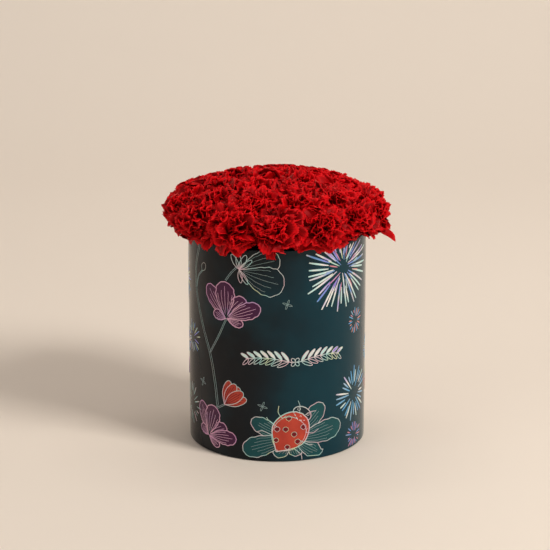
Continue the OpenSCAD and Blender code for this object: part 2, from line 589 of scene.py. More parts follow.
crimson_ink = new_ink("crimson", (0.2, 0.006, 0.012), (0.12, 0.004, 0.01), OVERPRINT_LIFT)
plain_sheet = Print("sheet_patches", printed_paper, INK_LIFT)
teal_ink = new_ink("teal", (0.006, 0.085, 0.09), (0.004, 0.04, 0.05))
night_ink = new_ink("night", (0.005, 0.012, 0.02), (0.01, 0.03, 0.04), OVERPRINT_LIFT)
prints = [silver_foil, white_foil, fine_foil, lilac_foil, violet_foil, blue_foil, rose_foil,
          plum_ink, coral_ink, crimson_ink, teal_ink, night_ink, plain_sheet]
print(len(prints), "foils and inks")

# %% [markdown]
# Petals, leaves, wing cases and dots are all one shape: a blade that starts at a base, heads off at an
# angle, may bend, and swells and narrows by a formula. The same blade gives its filled face, its outline
# and the veins inside it. Headings are degrees clockwise from straight up.

# %% Blades
BLADE_STEPS = 32
SWELL_POWER = 1.1
VEIN_START, VEIN_END, VEINS_OUT = 3, 29, 0.75


class Blade:
    """A petal or leaf drawn flat on the sheet: widest at its point, which is a share of its length."""

    def __init__(self, base, heading, length, width, bend=0.0, point=0.62, ruffle=0.0):
        s = np.linspace(0, 1, BLADE_STEPS + 1)
        turns = np.radians(heading + bend * s)
        steps = np.stack([np.sin(turns), np.cos(turns)], axis=1) * length / BLADE_STEPS
        self.axis = np.array(base) + np.concatenate([[[0, 0]], np.cumsum(steps[:-1], axis=0)])
        self.side = np.stack([np.cos(turns), -np.sin(turns)], axis=1)
        swell = np.sin(math.pi / 2 * np.clip(s / point, 0, 1)) ** SWELL_POWER
        close = np.sqrt(1 - (np.clip(s - point, 0, 1) / (1 - point)) ** 2)
        wave = 1 + ruffle * np.sin(11 * math.pi * s + heading) * s
        self.half = width / 2 * np.where(s < point, swell, close) * wave

    def along(self, v, first=0, last=BLADE_STEPS + 1):
        """Places along the blade at a share of its half width."""
        return (self.axis + self.side * (self.half * v)[:, None])[first:last]

    def fill(self, ink_print, layer=0):
        ink_print.slab(np.stack([self.along(v) for v in np.linspace(-1, 1, 7)], axis=1), layer)

    def outline(self, foil_print, width, layer=0):
        foil_print.line([*self.along(-1), *self.along(1)[-2::-1]], width, layer)

    def veins(self, foil_print, count, width, layer):
        for v in np.linspace(-VEINS_OUT, VEINS_OUT, count):
            foil_print.line(self.along(v, VEIN_START, int(VEIN_END - 9 * abs(v))), width, layer)

    def draw(self, layer, face, veins, vein_foil, vein_width, edge_foil, edge_width):
        """Its face, its veins and its outline, all on one layer."""
        self.fill(face, layer)
        self.veins(vein_foil, veins, vein_width, layer)
        self.outline(edge_foil, edge_width, layer)


def dot(ink_print, centre, width, layer):
    """A round spot with a foil ring."""
    spot = Blade((centre[0], centre[1] - width / 2), 0, width, width, point=0.5)
    spot.fill(ink_print, layer)
    spot.outline(silver_foil, HAIR, layer)


# %% Flowers and stems
def cosmos(base, size, tilt):
    """Five petals opening to one side, with a small one drooping under them."""
    petals = [(-45, 35, 15, 12), (-92, 15, 9, 40), (34, 27, 15, 24),
              (-8, 33, 20, 10), (112, 17, 8, -20), (66, 35, 15, 4)]
    for layer, (heading, length, width, bend) in enumerate(petals):
        blade = Blade(base, heading + tilt, length * size, width * size, bend, point=0.68, ruffle=0.06)
        blade.draw(layer, plum_ink, 5, lilac_foil, PETAL_VEIN, lilac_foil, OUTLINE)
    for heading in (-30, 0, 35):
        turn = math.radians(heading + tilt)
        tip = np.array(base) + 9 * size * np.array([math.sin(turn), math.cos(turn)])
        night_ink.line([base, tip], 1.2 * size, len(petals))


def tulip(base, tilt):
    """A closed cup of five petals."""
    for layer, (heading, width) in enumerate([(-2, 12), (-30, 9), (26, 9), (-14, 10), (10, 10)]):
        blade = Blade(base, heading + tilt, 24, width, 8, point=0.55)
        blade.draw(layer, coral_ink, 5, crimson_ink, CUP_VEIN, silver_foil, MIDDLING)


def stem_line(points, gap=SMALL_GAP):
    """A stem drawn as two lines side by side."""
    path = np.array(sweep_line(points))
    for shift in (-gap / 2, gap / 2):
        fine_foil.line(path + to_the_right(path) * shift, STEM_LINE)


def open_flower(base, tilt):
    """A large flower in outline only, with narrow sepals behind it."""
    for layer, (heading, length, width, bend) in enumerate([(60, 38, 22, 12), (105, 42, 26, -12)]):
        blade = Blade(base, heading + tilt, length, width, bend, point=0.7, ruffle=0.05)
        blade.draw(layer, plain_sheet, 5, fine_foil, PALE_VEIN, silver_foil, MIDDLING)
    sepals = [(-38, 15, 5), (-12, 14, 5), (18, 15, 5), (44, 15, 4), (140, 15, 4), (165, 12, 4)]
    for heading, length, width in sepals:
        Blade(base, heading + tilt, length, width, point=0.5).outline(silver_foil, MIDDLING, 2)


stem_line([(-82, 190), (-89, 168), (-88, 146), (-78, 118), (-67, 93), (-61, 68), (-58, 47)], STEM_GAP)
stem_line([(-58, 47), (-62, 36), (-68, 18)])
stem_line([(-67, 94), (-56, 112), (-47, 130)])
stem_line([(-48, 164), (-42, 172), (-34, 180)])
stem_line([(-58, 44), (-50, 49)])
stem_line([(-88, 150), (-84, 161), (-78, 167)], BUD_GAP)
Blade((-78, 167), 30, 9, 6, point=0.5).outline(fine_foil, MIDDLING)
open_flower((-34, 176), 8)
cosmos((-47, 130), 1.0, 0)
tulip((-50, 49), 40)
cosmos((-69, 16), 0.9, 18)
print("front flowers drawn")

# %% [markdown]
# A burst is a ring of loose strokes that start near a centre and swell outwards. Their lengths are picked
# at random from a fixed seed, and two foils take turns, as if two drawings were laid over each other.

# %% Bursts
STRAY_TURN, STRAY_START, SHORTEST = 0.25, 0.35, 0.7
STROKE_POINTS, FEWEST = 9, 3
BARE_EDGE = 2
SPARK = 4.5


def burst(centre, radius, strokes, foils, seed, width, start=0.22):
    """A ring of strokes, which starts at a share of its radius."""
    pick = np.random.default_rng(seed)
    for k in range(strokes):
        turn = 2 * math.pi * (k + pick.uniform(-STRAY_TURN, STRAY_TURN)) / strokes
        way = np.array([math.sin(turn), math.cos(turn)])
        near = radius * (start + pick.uniform(0, STRAY_START))
        far = radius * pick.uniform(SHORTEST, 1.0)
        share = np.linspace(0, 1, STROKE_POINTS)
        path = np.array(centre) + way * (near + (far - near) * share)[:, None]
        path = path[(path[:, 1] > BARE_EDGE) & (path[:, 1] < rim_z - BARE_EDGE)]
        if len(path) >= FEWEST:
            swell = 0.3 + 0.7 * np.sin(math.pi * np.linspace(0.05, 0.85, len(path)))
            foils[k % len(foils)].line(path, width * swell)


def spark(centre):
    """Four thin points that meet."""
    for heading in range(20, 360, 90):
        Blade(centre, heading, SPARK, SPARK * 0.3, point=0.35).outline(fine_foil, HAIR)


burst((63, 174), 43, 42, [white_foil, white_foil, violet_foil, white_foil], 1, 1.7, start=0.14)
burst((66, 172), 24, 24, [violet_foil, rose_foil, silver_foil], 2, 1.1)
burst((84, 120), 13, 22, [blue_foil, rose_foil], 3, 1.0)
burst((82, 52), 26, 28, [blue_foil, white_foil, blue_foil], 4, 1.6, start=0.18)
burst((84, 12), 14, 22, [rose_foil, violet_foil], 5, 1.1)
burst((-98, 100), 17, 18, [silver_foil, violet_foil], 6, 1.0)
burst((-103, 36), 22, 20, [silver_foil, fine_foil], 7, 1.0)
for place in ((9, 146), (-13, 52), (-78, 64)):
    spark(place)
print("bursts and sparks drawn")

# %% [markdown]
# Where a shop would stamp its name, this box has a plain laurel sprig instead: one slightly arched line with
# pairs of leaves that grow outwards from a small diamond, and nothing that could be read.

# %% Laurel sprig
SPRIG_MIDDLE, SPRIG_Z, SPRIG_HALF, SPRIG_RISE = 16.0, 92.0, 45.0, 5.0
SPRIG_ARCH = 0.8 * math.pi
LEAF_PAIRS = 7
LEAF_SPREAD, LEAF_BEND, LEAF_WIDTH = 44, 12, 2.5
SPRIG_LINE, LEAF_LINE = 0.7, 0.55


def on_sprig(side, share):
    """A place on one of the two branches, which arch up and come down again."""
    rise = SPRIG_RISE * math.sin(SPRIG_ARCH * share)
    return np.array([SPRIG_MIDDLE + side * SPRIG_HALF * share, SPRIG_Z + rise])


for side in (-1, 1):
    silver_foil.line([on_sprig(side, share) for share in np.linspace(0.06, 0.98, 24)], SPRIG_LINE)
    for k in range(LEAF_PAIRS):
        at = 0.12 + 0.8 * k / (LEAF_PAIRS - 1)
        slope = math.degrees(math.atan(SPRIG_ARCH * SPRIG_RISE * math.cos(SPRIG_ARCH * at) / SPRIG_HALF))
        for up in (-1, 1):
            heading, length = side * (90 - slope - up * LEAF_SPREAD), 12.0 - 4.0 * at
            leaf = Blade(on_sprig(side, at), heading, length, LEAF_WIDTH, side * up * LEAF_BEND, 0.45)
            if up > 0:
                leaf.fill(white_foil)
            leaf.outline(silver_foil, LEAF_LINE)
for heading in (45, 135, 225, 315):
    Blade((SPRIG_MIDDLE, SPRIG_Z + 1), heading, 4.6, 3.0, point=0.55).outline(silver_foil, LEAF_LINE)
print(4 * LEAF_PAIRS, "laurel leaves drawn")

# %% [markdown]
# The ladybird sits on an open line flower near the foot: two coral wing cases with dark spots, a small
# head, six thin legs and a pair of feelers. It is a plain garden ladybird, built from the same blades.

# %% The ladybird's flower
leaves = [(-140, 22, 14, 6), (160, 20, 14, 0), (-70, 40, 15, 12), (50, 42, 17, -12), (118, 34, 16, 8),
          (-100, 46, 19, -14), (86, 50, 20, -8)]
LEAF_LOW, LEAF_CLEAR, LEAF_EDGE = 6, 3, 0.6
for layer, (heading, length, width, bend) in enumerate(leaves):
    leaf = Blade((13, 22), heading, length, width, bend, point=0.7, ruffle=0.05)
    leaf.axis[:, 1] = np.clip(leaf.axis[:, 1], LEAF_LOW, None)
    leaf.half = np.minimum(leaf.half, leaf.axis[:, 1] - LEAF_CLEAR)
    leaf.draw(layer, teal_ink, 6, fine_foil, LEAF_VEIN, silver_foil, LEAF_EDGE)
print(len(leaves), "leaves under the ladybird")

# %% Ladybird
BUG_TAIL, BUG_HEADING = np.array([-1.0, 10.0]), 34.0
BUG_LENGTH, BUG_WIDTH = 42.0, 33.0
LEG, CAP_EDGE, SHELL_EDGE = 0.55, 0.7, 0.9
ON_FLOWER = len(leaves) + 1
ON_SHELL = ON_FLOWER + 2
bug_turn = math.radians(BUG_HEADING)
bug_along = np.array([math.sin(bug_turn), math.cos(bug_turn)])
bug_across = np.array([math.cos(bug_turn), -math.sin(bug_turn)])


def on_bug(ahead, across):
    """A place on the ladybird, from its tail forwards and to its right."""
    return BUG_TAIL + bug_along * ahead + bug_across * across


def bug_line(places, width, layer, count=6):
    """A line on both sides of the ladybird, through places ahead of its tail and out from its middle."""
    for side in (-1, 1):
        points = [on_bug(ahead, side * across) for ahead, across in places]
        silver_foil.line(sweep_line(points, count), width, layer)


for ahead, reach, swing in ((11, 24, -5), (20, 25, 2), (29, 22, 8)):
    knee = (ahead + swing * 0.3, reach * 0.85)
    bug_line([(ahead, 12), knee, (ahead + swing, reach)], LEG, ON_FLOWER)
bug_line([(42, 3), (47, 6), (50, 10)], MIDDLING, ON_FLOWER)
head_cap = Blade(on_bug(35, 0), BUG_HEADING, 13, 18, point=0.5)
head_cap.fill(night_ink, ON_FLOWER)
head_cap.outline(silver_foil, CAP_EDGE, ON_FLOWER)
shell = Blade(BUG_TAIL, BUG_HEADING, BUG_LENGTH, BUG_WIDTH, point=0.52)
shell.fill(coral_ink, ON_FLOWER + 1)
shell.outline(silver_foil, SHELL_EDGE, ON_FLOWER + 1)
for side in (-1, 1):
    dot(coral_ink, on_bug(44, side * 5), 2.6, ON_FLOWER)
    for ahead, across, width in ((9, 6, 4.5), (18, 11, 5), (22, 4.5, 5), (32, 8, 5)):
        dot(crimson_ink, on_bug(ahead, side * across), width, ON_SHELL)
    middle_line = [on_bug(1, side * 0.5), on_bug(BUG_LENGTH - 2, side * 0.5)]
    silver_foil.line(middle_line, THIN, ON_SHELL)
bug_line([(36, 1), (34, 8), (29, 13.6)], MIDDLING, ON_SHELL, 8)
bug_line([(2, 2), (10, 11.5), (22, 14.6), (33, 11.5)], THIN, ON_SHELL, 8)
print("ladybird drawn,", BUG_LENGTH, "mm long")

# %% [markdown]
# The drawings go on round the back, where the camera doesn't look but a hand would turn the box. They are
# the same flowers and bursts at other sizes and tilts, so the sheet reads as one design.

# %% Round the back
for middle, up, size, tilt in ((150, 108, 1.05, -6), (-150, 60, 0.95, 12),
                               (-212, 128, 1.0, -20), (214, 40, 0.9, 8)):
    cosmos((middle, up), size, tilt)
    stem_line([(middle, up), (middle - 10, up - 22), (middle - 12, up - 48)])
for middle, up, tilt in ((128, 40, -20), (-175, 116, 10), (178, 20, 15)):
    tulip((middle, up), tilt)
    stem_line([(middle, up), (middle + 4, up - 16)])
back_bursts = [(196, 150, 34), (-128, 150, 26), (-238, 60, 30), (120, 84, 14),
               (172, 70, 16), (-118, 92, 13), (-195, 30, 16), (240, 110, 14)]
for seed, (middle, up, radius) in enumerate(back_bursts, 20):
    burst((middle, up), radius, 20 + radius // 2, [silver_foil, blue_foil, violet_foil], seed, 1.2)
for place in ((135, 150), (-150, 110), (-226, 96), (200, 90), (160, 158)):
    spark(place)
for one in prints:
    one.finish_piece()

# %% [markdown]
# ## Petals
# A carnation's petal is a fan on a narrow claw. Its outer edge is cut into small teeth and thrown into
# folds. A petal is made as a grid: rows run from the claw to the edge along a Bezier curve that leaves
# the calyx and bends out to the head's surface, and columns spread across the fan. The folds then push
# each point off the sheet, more and more towards the edge, and last the petal turns about its own claw.
# Sculpting would look as good on one flower, but a formula with random numbers gives every petal of
# every flower its own shape.

# %% Bending points
def curve(points, s):
    """A cubic Bezier curve through its first and last points."""
    a, b, c, d = (np.array(p)[:, None, None] for p in points)
    r = 1 - s
    return a * r**3 + 3 * b * r * r * s + 3 * c * r * s * s + d * s**3


def crease(turns):
    """A wave between -1 and 1 with sharp folds, softened a little."""
    wave = np.sin(turns)
    return (1 - SHARP) * wave + SHARP * np.arcsin(0.96 * wave) / np.arcsin(0.96)


def turned(points, axis, angle):
    """Points turned about an axis through the origin."""
    axis = axis / np.linalg.norm(axis)
    along = (points @ axis)[..., None] * axis
    across = points - along
    return along + across * math.cos(angle) + np.cross(axis, across) * math.sin(angle)


# %% One petal
PETAL_ROWS, PETAL_COLUMNS = 11, 25
ROW_CROWDING = 0.8
MOUTH_DROP, CLAW_DROP = 10.0, 13.0
CLAW, CLAW_OUT = 1.1, 0.8
TOOTH, LOBE, ROUNDED = 0.024, 0.04, 0.22
SHARP = 0.55
RIPPLE, CROSS, FINE = 0.75, 0.35, 0.3
TWIST = 0.35
ANY_TURN = 6.3


def petal(random, reach, tip_angle, around, half_width, fold, curl, droop, spin):
    """Grid of points in millimetres, with the flower's axis along z."""
    s = np.linspace(0.0, 1.0, PETAL_ROWS)[:, None] ** ROW_CROWDING
    t = np.linspace(-1.0, 1.0, PETAL_COLUMNS)[None, :]

    # The toothed, rounded edge, and the curve from the claw to it.
    teeth = np.where(np.arange(PETAL_COLUMNS) % 2, 1.0, -1.0)[None, :]
    teeth = teeth * random.uniform(0.2, 1.0, PETAL_COLUMNS)[None, :]
    lobes = LOBE * np.sin(random.uniform(3, 6) * t + random.uniform(0, ANY_TURN))
    fan = 1.0 - ROUNDED * np.abs(t) ** 3 + (TOOTH * teeth + lobes) * s**3
    out, up = math.sin(tip_angle), math.cos(tip_angle)
    tip = (reach * out, reach * up - droop)
    belly = (reach * out * 0.5, reach * (0.45 * up + 0.3 * out) + 0.5 * droop)
    throat = (1.2 + 1.4 * out, -MOUTH_DROP + 6.0)
    spine = curve([(CLAW_OUT, -CLAW_DROP), throat, belly, tip], s * fan)

    # The fan's width, bent round the flower's axis.
    width = CLAW + (half_width - CLAW) * smooth_step((s - 0.1) / 0.65)
    bend_r = max(reach * out, 9.0) * random.uniform(1.0, 2.0)
    turn = t * width / bend_r
    x = spine[0] - bend_r * (1 - np.cos(turn))
    grid = np.stack([x, bend_r * np.sin(turn), spine[1] + 0.0 * t], axis=-1)

    # Folds, a twist and a curled edge push the points off the sheet.
    grow = smooth_step((s - 0.15) / 0.85) ** 1.2
    waves = random.uniform(1.1, 2.2) * half_width / 9
    ripple = crease(math.pi * waves * t + random.uniform(0, ANY_TURN) + 1.5 * s)
    fine = np.sin(math.pi * waves * 2.6 * t + random.uniform(0, ANY_TURN) - 2.5 * s)
    cross = np.sin(random.uniform(3, 7) * s + 1.5 * t + random.uniform(0, ANY_TURN))
    folds = fold * (RIPPLE * ripple + FINE * fine * s + CROSS * cross)
    twist = random.normal(0, TWIST) * t * width
    roll = curl * np.clip((s - 0.6) / 0.4, 0, 1) ** 2
    normal = np.cross(np.gradient(grid, axis=0), np.gradient(grid, axis=1))
    normal /= np.linalg.norm(normal, axis=-1, keepdims=True) + NEARLY_NOTHING
    grid = grid + normal * (grow * (folds + twist) + roll)[..., None]

    # A spin about the claw, then the petal's place round the flower.
    claw = np.array([CLAW_OUT, 0.0, -CLAW_DROP])
    grid = claw + turned(grid - claw, np.array([tip[0], 0.0, tip[1]]) - claw, spin)
    return turned(grid, np.array([0.0, 0.0, 1.0]), around)


# %% [markdown]
# A head is seventy-six petals. Their tips are spread evenly over the head by the golden angle, from the
# crumpled ones in the middle to the guard petals that droop below the widest part. Packed carnations lose
# their own round shape: each petal grows as far as the dome's skin or the plane half way to a neighbour
# lets it, and what still reaches too far is eased back. Points near the box are moved clear of the rim.
#
# Three things keep the dome from looking turned on a lathe. Every head bulges a little in its own middle
# and swells or shrinks as a whole, petals turn about their own claws, and the guard petals of the outer
# row hang over the rim in tufts with gaps between. One loose petal hangs lower than the rest.

# %% The room a head has
LONGEST = 30.0
DOME_R, DOME_UP, DOME_DOWN = 100.0, 27.6, 26.5
DOME_Z = rim_z + 18.0
SKIN_NEAR, SKIN_FAR, HALVINGS = 4.0, 60.0, 16
NEIGHBOUR_REACH = 56.0
FACING = 0.05
EASE_START, EASE_PAST, PAST_SHARE = 2.0, 8.5, 0.6
BUMP, BUMP_AT, DEEPEST_DIP = 9.0, 0.78, 3.5
HEM_START, HEM_LOW = -0.2, -0.55


def to_the_dome(start, way):
    """How far from a point inside the dome its skin lies along a way."""
    near, far = SKIN_NEAR, SKIN_FAR
    for _ in range(HALVINGS):
        middle = (near + far) / 2
        x, y, z = start + middle * way
        up = z - DOME_Z
        half, power = (DOME_UP, 2) if up > 0 else (DOME_DOWN, 4)
        inside = (math.hypot(x, y) / DOME_R) ** power + abs(up / half) ** power < 1
        near, far = (middle, far) if inside else (near, middle)
    return near


def neighbours(flower):
    """The ways to the flowers that press on this one, and half the distances."""
    found = []
    for other in flowers:
        way = (other.centre - flower.centre) / MM
        apart = np.linalg.norm(way)
        if other is not flower and apart < NEIGHBOUR_REACH:
            found.append((way / apart, apart / 2))
    return found


def room(flower, way):
    """How far a petal may grow from the head's centre along a way."""
    bump = max(BUMP * (way @ flower.axis - BUMP_AT), -DEEPEST_DIP) if way[2] > HEM_START else 0.0
    free = min(LONGEST, to_the_dome(flower.centre / MM, way) + flower.swell + bump)
    for side, half in neighbours(flower):
        toward = way @ side
        if toward > FACING:
            free = min(free, (half + EASE_PAST * PAST_SHARE) / toward)
    return free


rooms = [room(flower, flower.axis) for flower in flowers]
print("room over the heads' middles from", round(min(rooms), 1), "to", round(max(rooms), 1), "mm")

# %% Pressing the petals together
PRESSED_LIFT = 0.25
SKIN_FREE, SKIN_EASE = 4.2, 2.5
RIM_CLEARANCE, LINING_CLEARANCE = 0.8, 1.5


def press_back(points, flower):
    """Eases points in millimetres away from the neighbouring heads."""
    centre = flower.centre / MM
    for side, half in neighbours(flower):
        past = (points - centre) @ side - half
        span = EASE_START + EASE_PAST
        eased = -EASE_START + span * (1 - np.exp(-np.maximum(past + EASE_START, 0) / span))
        give = np.where(past > -EASE_START, past - eased, 0.0)
        points = points - give[..., None] * (side - PRESSED_LIFT * flower.axis)
    return points


def within_skin(points):
    """Eases points in millimetres that stand out of the dome back to a little over its skin."""
    from_middle = points - np.array([0, 0, DOME_Z])
    far = np.hypot(from_middle[..., 0], from_middle[..., 1]) / DOME_R
    up = from_middle[..., 2]
    upper = np.sqrt(far**2 + (up / DOME_UP) ** 2)
    lower = (far**4 + (up / DOME_DOWN) ** 4) ** 0.25
    level = np.where(up > 0, upper, lower)
    length = np.linalg.norm(from_middle, axis=-1)
    past = np.maximum(length * (1 - 1 / np.maximum(level, 1.0)) - SKIN_FREE, 0.0)
    give = past - SKIN_EASE * (1 - np.exp(-past / SKIN_EASE))
    return points - from_middle * (give / np.maximum(length, 1.0))[..., None]


def clear_of_box(points):
    """Moves points in millimetres off the rim, over it or in front of it."""
    reach = np.hypot(points[..., 0], points[..., 1])
    over = rim_z + RIM_CLEARANCE - points[..., 2]
    beyond = box_r + RIM_CLEARANCE - reach
    in_wall = (over > 0) & (beyond > 0) & (reach > lining_r - LINING_CLEARANCE)
    lift = in_wall & (over < beyond)
    points[..., 2] += np.where(lift, over, 0.0)
    points[..., :2] *= np.where(in_wall & ~lift, 1 + beyond / np.maximum(reach, 1.0), 1.0)[..., None]
    return points


# %% The hem, and how a head nods
HANG, LESS_AT_SIDES, LEAST_HANG = 0.74, 0.3, 0.2
TUFTS = [(0.12, 11, 0.7), (0.42, 23, 1.67)]
NOD, LIFTED = 0.26, -0.2


def hem(around):
    """How far the guard petals hang over the rim: in tufts, with gaps between, less at the sides."""
    tufts = sum(deep * math.sin(count * around + shift) for deep, count, shift in TUFTS)
    return max(HANG - LESS_AT_SIDES * math.cos(around) ** 2 + tufts, LEAST_HANG)


def head_axes(flower, random):
    """The head's own axes, nodding a little off the stem's."""
    nod = random.normal(0, NOD, 2)
    if flower.row is ROWS[0]:
        nod[0] += LIFTED
    axis = flower.axis + nod[0] * flower.down + nod[1] * flower.side
    axis /= np.linalg.norm(axis)
    side = np.cross(axis, flower.down)
    side /= np.linalg.norm(side)
    return np.stack([np.cross(side, axis), side, axis])


def hung(flower, way, reach):
    """A guard petal's reach, cut back where the hem has a gap."""
    x, y, _ = flower.centre / MM + way * reach
    low = smooth_step((HEM_START - way[2]) / (HEM_START - HEM_LOW))
    return reach * (1 - low * (1 - hem(math.atan2(y, x))))


# %% Gathering a head's petals
LOOSE_PETAL_ON, LOOSE_SEED, LOOSE_SHADE = "04", 4, 0.8
LOOSE_OUT, LOOSE_DOWN = 24.5, 23.5


class Head:
    """The points, faces and petal marks of one flower's head."""

    def __init__(self, flower):
        self.flower = flower
        self.points, self.faces, self.marks = [], [], []

    def add(self, grid, own, loose=False):
        """Adds a petal, pressed in among its neighbours unless it is a loose one."""
        grid = grid + self.flower.centre / MM
        if not loose:
            grid = within_skin(press_back(grid, self.flower))
        self.faces += grid_faces(PETAL_ROWS, PETAL_COLUMNS, first=len(self.points))
        self.points += list(clear_of_box(grid).reshape(-1, 3) * MM)
        along = np.linspace(0, 1, PETAL_ROWS)[:, None] * np.ones(PETAL_COLUMNS)
        across = np.ones(PETAL_ROWS)[:, None] * np.linspace(-1, 1, PETAL_COLUMNS)
        self.marks += list(np.stack([along, across, np.full(along.shape, own)], axis=-1).reshape(-1, 3))


def loose_petal(flower, basis, random):
    """A narrow petal that has slipped out and hangs below the others."""
    reach = math.hypot(LOOSE_OUT, LOOSE_DOWN)
    way = basis @ (LOOSE_OUT * flower.out - LOOSE_DOWN * np.array([0, 0, 1])) / reach
    tip_angle, around = math.acos(way[2]), math.atan2(way[1], way[0])
    narrow = dict(half_width=3.4, fold=1.0, curl=0.0, droop=0.0, spin=0.9)
    return petal(random, reach, tip_angle, around, **narrow) @ basis


# %% One head
PETALS = 76
LAST_TIP_ANGLE = math.radians(116)
GOLDEN_TURN = math.pi * (3 - math.sqrt(5))
TIP_STRAY, AROUND_STRAY = 0.18, 0.35
SHORTEST_SHARE, LONGEST_SHARE = 0.88, 1.03
STRAY_SHARE, STRAY_REACH = 0.03, 1.12
HALF_WIDTH, WIDER_OUTSIDE, WIDTH_STRAY = 7.5, 4.7, 1.5
FOLD_DEPTH, FLATTER_OUTSIDE = 2.9, 0.9
HANGING_WIDTH, HANGING_FOLD = 0.75, 0.45
CURL, CURL_STRAY = 0.4, 2.8
GUARDS, GUARD_DROOP = 0.75, 2.0
SPIN, LEAST_SPIN = 0.7, 0.12
OWN_SHADE = 0.65


def head(flower, random):
    """One flower's head, with all its petals."""
    basis = head_axes(flower, random)
    shade = random.uniform(0, 1)
    start = random.uniform(0, ANY_TURN)
    outer = flower.row is ROWS[0]
    made = Head(flower)
    for k in range(PETALS):
        share = (k + 0.5) / PETALS
        tip_angle = math.acos(1 - share * (1 - math.cos(LAST_TIP_ANGLE)))
        tip_angle += random.normal(0, TIP_STRAY)
        around = start + k * GOLDEN_TURN + random.normal(0, AROUND_STRAY)
        out = math.sin(tip_angle)
        way = np.array([out * math.cos(around), out * math.sin(around), math.cos(tip_angle)]) @ basis
        reach = room(flower, way) * random.uniform(SHORTEST_SHARE, LONGEST_SHARE)
        if outer:
            reach = hung(flower, way, reach)
        if random.uniform(0, 1) < STRAY_SHARE:
            reach *= STRAY_REACH
        half_width = HALF_WIDTH + WIDER_OUTSIDE * share**2 + random.uniform(-WIDTH_STRAY, WIDTH_STRAY)
        fold = FOLD_DEPTH - FLATTER_OUTSIDE * share + random.uniform(-0.9, 0.8)
        if outer and way[2] < HEM_LOW:
            half_width *= HANGING_WIDTH
            fold *= HANGING_FOLD
        curl = random.normal(CURL, CURL_STRAY)
        droop = GUARD_DROOP * max(share - GUARDS, 0) / (1 - GUARDS)
        spin = random.normal(0, LEAST_SPIN + SPIN * (1 - share))
        grid = petal(random, reach, tip_angle, around, half_width, fold, curl, droop, spin)
        made.add(grid @ basis, OWN_SHADE * random.uniform(0, 1) + (1 - OWN_SHADE) * shade)
    if flower.name == LOOSE_PETAL_ON:
        loose = loose_petal(flower, basis, np.random.default_rng(LOOSE_SEED))
        made.add(loose, LOOSE_SHADE, loose=True)
    return made


# %% [markdown]
# A red petal is matt velvet with a slight waxy shine. It is deepest near the claw, where painted shade
# stands for the depth of the head, and on the older petals, and fine veins fan out towards its edge. Its
# outer edge is lightened as a painted highlight. Every point of a petal carries a mark with how far along
# and across it lies and a number of the petal's own, so the veins and tints follow the petal wherever it
# bends.

# %% Red petals
petal_red = Finish("petal_red", Specular_IOR_Level=0.07)
petal_mark = petal_red.node("ShaderNodeAttribute", {"attribute_name": "petal_mark"})
mark_parts = petal_red.node("ShaderNodeSeparateXYZ", None, {"Vector": petal_mark.output("Vector")})
mark_along, mark_across, mark_own = (mark_parts.output(axis) for axis in "XYZ")
vein_place = petal_red.node("ShaderNodeCombineXYZ", None,
                            {"X": mark_along * 1.5, "Y": mark_across * 11, "Z": mark_own * 40})
veins = petal_red.noise(2.2, 3.0, 0.6, vein_place)
tint = mix(mark_own, (0.2, 0.0, 0.001), (0.55, 0.0, 0.002))
# Painted shade: the petal is darker towards its claw, deep inside the head.
deep = petal_red.span(mark_along, 0.25, 0.95, start=1.0, end=0.0)
petal_colour = mix(deep * 0.75, tint, (0.1, 0.0, 0.002))
petal_colour = mix(veins * 0.35, petal_colour, (0.2, 0.0, 0.003))
# Painted highlight: the petals' outer edges are lightened towards bright red.
rim_light = petal_red.span(mark_along, 0.86, 1.0, end=0.55, way="SMOOTHSTEP")
petal_colour = mix(rim_light, petal_colour, (0.95, 0.007, 0.012))
petal_red.feed("Base Color", petal_colour)
petal_red.feed("Roughness", 0.34 + 0.25 * veins)
petal_red.bump(veins, 0.25 * MM, 0.5)

# %% Growing all the heads
PETAL_THICKNESS = 0.3
random = np.random.default_rng(26)
petal_faces = 0
for flower in flowers:
    made = head(flower, random)
    piece = new_piece("carnation_head_" + flower.name, made.points, made.faces)
    marked = piece.data.attributes.new("petal_mark", "FLOAT_VECTOR", "POINT")
    marked.data.foreach_set("vector", np.array(made.marks).ravel())
    body = piece.modifiers.new("petal_thickness", "SOLIDIFY")
    body.thickness = PETAL_THICKNESS * MM
    body.offset = 0
    paint(piece, petal_red)
    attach(piece, "root")
    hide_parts("bloom_" + flower.name)
    petal_faces += len(made.faces)
print(petal_faces // ((PETAL_ROWS - 1) * (PETAL_COLUMNS - 1)), "petals,", petal_faces, "faces")

# %% [markdown]
# ## Stems and calyxes
# A cut carnation stem stands upright in the foam, bends at a swollen joint and ends in the calyx, a green
# cup with five teeth that grips the petals, with four small scales at its foot. The frame's stems have a
# ball for a joint and a plain cup. These take their places from the same flowers, so they stand in the same
# holes in the foam, but the bend is one smooth curve and the cup has its teeth and scales.

# %% Stem and calyx
STEM_R = 2.3
CALYX_L = 22.0
NECKS = (7.0, 9.0, 12.0)
STEM_DEPTH, FOAM_DROP = 50.0, 26.0
BEND_EASE = 9.0
SIDES, CUP_SIDES = 16, 48
JOINT_SWELL, JOINT_AT, JOINT_LENGTH = 0.3, 0.45, 0.16
TEETH, TOOTH_HEIGHT, TEETH_START, TEETH_RAMP = 5, 2.4, 19, 2.5
RIDGE = 0.08
SCALES, SCALE_LENGTH, SCALE_HALF, SCALE_ROWS, SCALE_COLUMNS = 4, 7.5, 0.72, 8, 7
CUP = [(0, 2.4), (0.6, 3.8), (2, 5.0), (5, 5.9), (10, 6.2), (16, 6.15), (20, 6.25), (21.5, 6.35)]
CUP_INSIDE = [(21.3, 5.9), (17, 5.6), (15, 5.0), (14.5, 1.0)]


def ring_around(middle, one, other, r, turns):
    """Points round a circle in the plane of two directions."""
    return [middle + r * (math.cos(t) * one + math.sin(t) * other) for t in turns]


